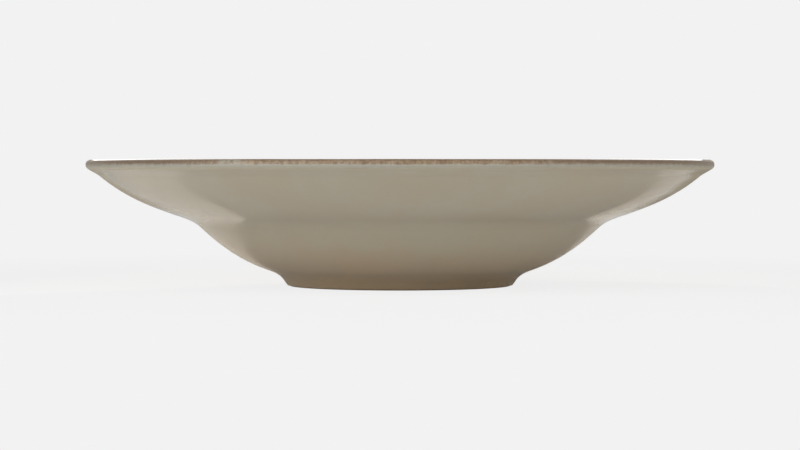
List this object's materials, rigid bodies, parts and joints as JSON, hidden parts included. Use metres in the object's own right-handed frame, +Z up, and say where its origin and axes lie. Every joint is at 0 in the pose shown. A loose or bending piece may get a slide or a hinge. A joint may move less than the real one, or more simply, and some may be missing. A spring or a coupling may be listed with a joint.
{
  "type": "rimmed soup plate",
  "caption": "Round stoneware soup plate with a deep well, a wide rising flange, a rounded brown-edged lip and a flared foot ring.",
  "frame": {"origin": "on the plate's axis, in the plane that its foot ring stands on", "axes": "+Z up along the plate's axis; X and Y are alike, because the plate is round"},
  "size_m": [0.24, 0.24, 0.0484],
  "materials": {
    "fired_clay": "bare matt fired clay",
    "inside_glaze": "satin taupe-grey glaze",
    "edge_band": "iron-brown glaze breaking over the lip",
    "outside_glaze": "satin taupe-grey glaze",
    "base_glaze": "satin taupe-grey glaze"
  },
  "bodies": {
    "root": {"clay_body": "fired_clay", "inside_glaze": "inside_glaze", "edge_band": "edge_band", "outside_glaze": "outside_glaze", "base_glaze": "base_glaze"}
  },
  "joints": []
}
